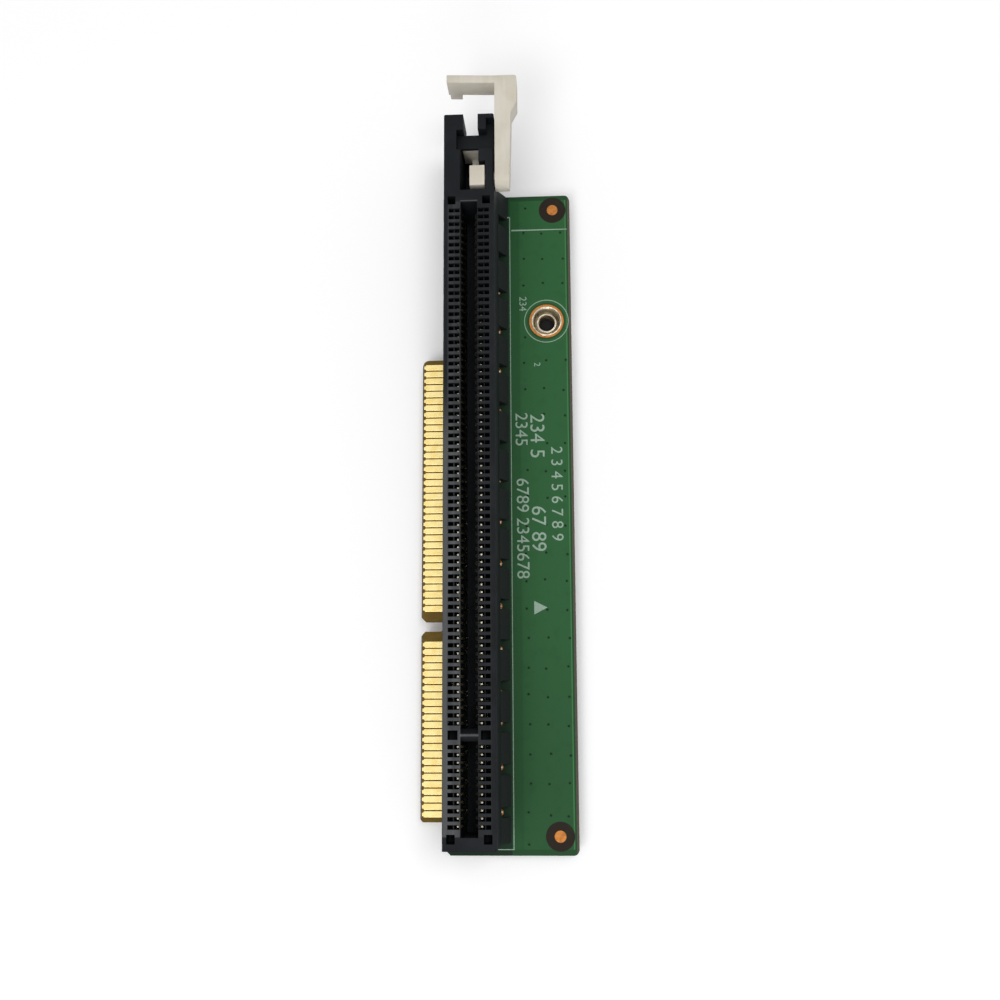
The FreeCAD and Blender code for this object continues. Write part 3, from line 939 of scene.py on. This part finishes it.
def viaFieldTree():
    # a strayed grid, left open round the standoff and the two targets
    tree, given = newPattern("viaField", {
        "Columns": "Int", "Rows": "Int", "Width": "Float", "Length": "Float", "Centre": "Vector",
        "Jitter": "Float", "Seed": "Int", "Standoff": "Vector", "Standoff Clear": "Float",
        "Target One": "Vector", "Target Two": "Vector", "Target Clear": "Float",
    })
    grid = tree.node("GeometryNodeMeshGrid", sockets={
        "Size X": given.also("Width"), "Size Y": given.also("Length"),
        "Vertices X": given.also("Columns"), "Vertices Y": given.also("Rows"),
    })
    least = tree.node("ShaderNodeCombineXYZ", sockets={0: given.also("Jitter") * -1, 1: given.also("Jitter") * -1})
    most = tree.node("ShaderNodeCombineXYZ", sockets={0: given.also("Jitter"), 1: given.also("Jitter")})
    stray = tree.node(
        "FunctionNodeRandomValue", {"data_type": "FLOAT_VECTOR"}, {0: least, 1: most, "Seed": given.also("Seed")}
    )
    offset = tree.node("ShaderNodeVectorMath", {"operation": "ADD"}, {0: stray, 1: given.also("Centre")})
    points = tree.node("GeometryNodeSetPosition", sockets={"Geometry": grid, "Offset": offset})
    where = tree.node("GeometryNodeInputPosition")
    blocked = None
    for mark, clear in (("Standoff", "Standoff Clear"), ("Target One", "Target Clear"), ("Target Two", "Target Clear")):
        near = tree.math("LESS_THAN", tree.distance(where, given.also(mark)), given.also(clear))
        blocked = near if blocked is None else blocked + near
    kept = tree.node("GeometryNodeDeleteGeometry", {"domain": "POINT"}, {"Geometry": points, "Selection": blocked})
    return closePattern(tree, given, kept)


def growVias():
    s = via
    field = viaFieldTree()
    faces = []
    for height, up in ((0, 1), (-boardThickness, -1)):
        profile = [
            (s["outer"], 0), (s["outer"] - s["slope"], s["high"]), (s["hole"] + s["holeSlope"], s["high"]),
            (s["hole"], s["dish"]), (0, s["dish"]), (0, 0),
        ]
        points, shell = turned(lambda angle: [(r, z * up) for r, z in profile], s["segments"])
        source = newObject("viaPiece", meshOf("via", local(points), shell), viaMask)
        faces.append(grow("vias", field, {
            "Piece": source, "Finish": viaMask, "Columns": s["columns"], "Rows": s["rows"],
            "Width": s["width"] * mm, "Length": s["length"] * mm, "Centre": at(*s["centre"], height),
            "Jitter": s["jitter"] * mm, "Seed": s["seed"],
            "Standoff": at(*standoff["centre"], height), "Standoff Clear": s["standoffClear"] * mm,
            "Target One": at(*maskLook["targets"][0], height), "Target Two": at(*maskLook["targets"][1], height),
            "Target Clear": s["targetClear"] * mm,
        }))
        bpy.data.objects.remove(source)
    attach(newObject("via_field", joined("via_field", faces), viaMask))


growVias()
print("vias made")


# stage: pale floor, a sky that lights mostly from overhead, three large soft lamps
stageLook = {
    "floorSize": 3.0, "floorGap": 0.02, "floorColour": (0.93, 0.93, 0.94, 1),
    "boreShadeColour": (0.03, 0.03, 0.03, 1), "boreShade": 2.7, "lift": 0.1, "farLift": 0.9, "farReach": (0.2, 1.2),
    "horizon": 0.36, "zenith": 1.0, "crown": (0.7, 0.97),
}
lamps = {
    "key": {"place": (-220, -400, 720), "aim": (0, 30, 0), "size": 350, "power": 1.95},
    "fill": {"place": (200, 120, 740), "aim": (0, 30, 0), "size": 240, "power": 1.25},
    "front": {"place": (0, -800, 300), "aim": (0, 60, 0), "size": 400, "power": 1.3},
}
view = {
    "place": (13.69978, 2.66215, 169.26278), "turn": (0.17496, 0.05956, -0.0159), "lens": 43.646, "sensor": 36,
    "clipStart": 0.005,
}


def seenDirectly(tree):
    path = tree.node("ShaderNodeLightPath")
    shiny = tree.math("MAXIMUM", path.also("Is Glossy Ray"), path.also("Is Transmission Ray"))
    return tree.math("MAXIMUM", path.also("Is Camera Ray"), shiny)


def setStage():
    s = stageLook
    half = s["floorSize"] / 2
    level = cadBox[0][2] - s["floorGap"] * mm
    corners = [(-half, -half, level), (half, -half, level), (half, half, level), (-half, half, level)]
    cloth = bpy.data.materials.new("paperFloor")
    cloth.use_nodes = True
    cloth.node_tree.nodes.clear()
    tree = Tree(cloth.node_tree)
    seen = seenDirectly(tree)
    # painted shade: the paper is painted dark, with no glow, where only the standoff's bore looks down on it
    bore = at(*standoff["centre"], -floorDrop - s["floorGap"])
    apart = tree.distance(tree.node("ShaderNodeTexCoord", out="Object"), bore)
    lit = tree.math("GREATER_THAN", apart, s["boreShade"] * mm)
    tone = tree.blend(s["boreShadeColour"], s["floorColour"], lit)
    paper = tree.node("ShaderNodeBsdfDiffuse", sockets={"Color": tone})
    far = tree.step(apart, *s["farReach"])
    glow = tree.node("ShaderNodeEmission", sockets={"Strength": seen * lit * (s["lift"] + far * s["farLift"])})
    both = tree.node("ShaderNodeAddShader", sockets={0: paper, 1: glow})
    tree.node("ShaderNodeOutputMaterial", sockets={"Surface": both})
    newObject("floor", meshOf("floor", corners, [(0, 1, 2, 3)], False), cloth)

    world = bpy.data.worlds.new("sky")
    scene.world = world
    world.use_nodes = True
    world.node_tree.nodes.clear()
    tree = Tree(world.node_tree)
    seen = seenDirectly(tree)
    # the light comes mostly from high up, and what is seen or mirrored is plain white
    way = tree.node("ShaderNodeTexCoord", out="Generated")
    height = tree.node("ShaderNodeSeparateXYZ", sockets={0: way}).also("Z")
    dome = s["horizon"] + tree.step(height, *s["crown"]) * (s["zenith"] - s["horizon"])
    glow = tree.node("ShaderNodeBackground", sockets={"Color": (1, 1, 1, 1), "Strength": dome * (1 - seen) + seen})
    tree.node("ShaderNodeOutputWorld", sockets={"Surface": glow})

    for name, lamp in lamps.items():
        data = bpy.data.lights.new(name, "AREA")
        data.size = lamp["size"] * mm
        data.energy = lamp["power"]
        made = bpy.data.objects.new(name, data)
        made.location = at(*lamp["place"])
        made.rotation_euler = (at(*lamp["aim"]) - made.location).to_track_quat("-Z", "Y").to_euler()
        scene.collection.objects.link(made)

    data = bpy.data.cameras.new("camera")
    data.sensor_width = view["sensor"]
    data.lens = view["lens"]
    data.clip_start = view["clipStart"]
    made = bpy.data.objects.new("camera", data)
    turn = Matrix.Identity(4)
    for angle, axis in zip(view["turn"], "XYZ"):
        turn = turn @ Matrix.Rotation(angle, 4, axis)
    made.matrix_world = Matrix.Translation(at(*view["place"])) @ turn
    scene.collection.objects.link(made)
    scene.camera = made
    scene.view_settings.view_transform = "Standard"


setStage()
print("stage set")
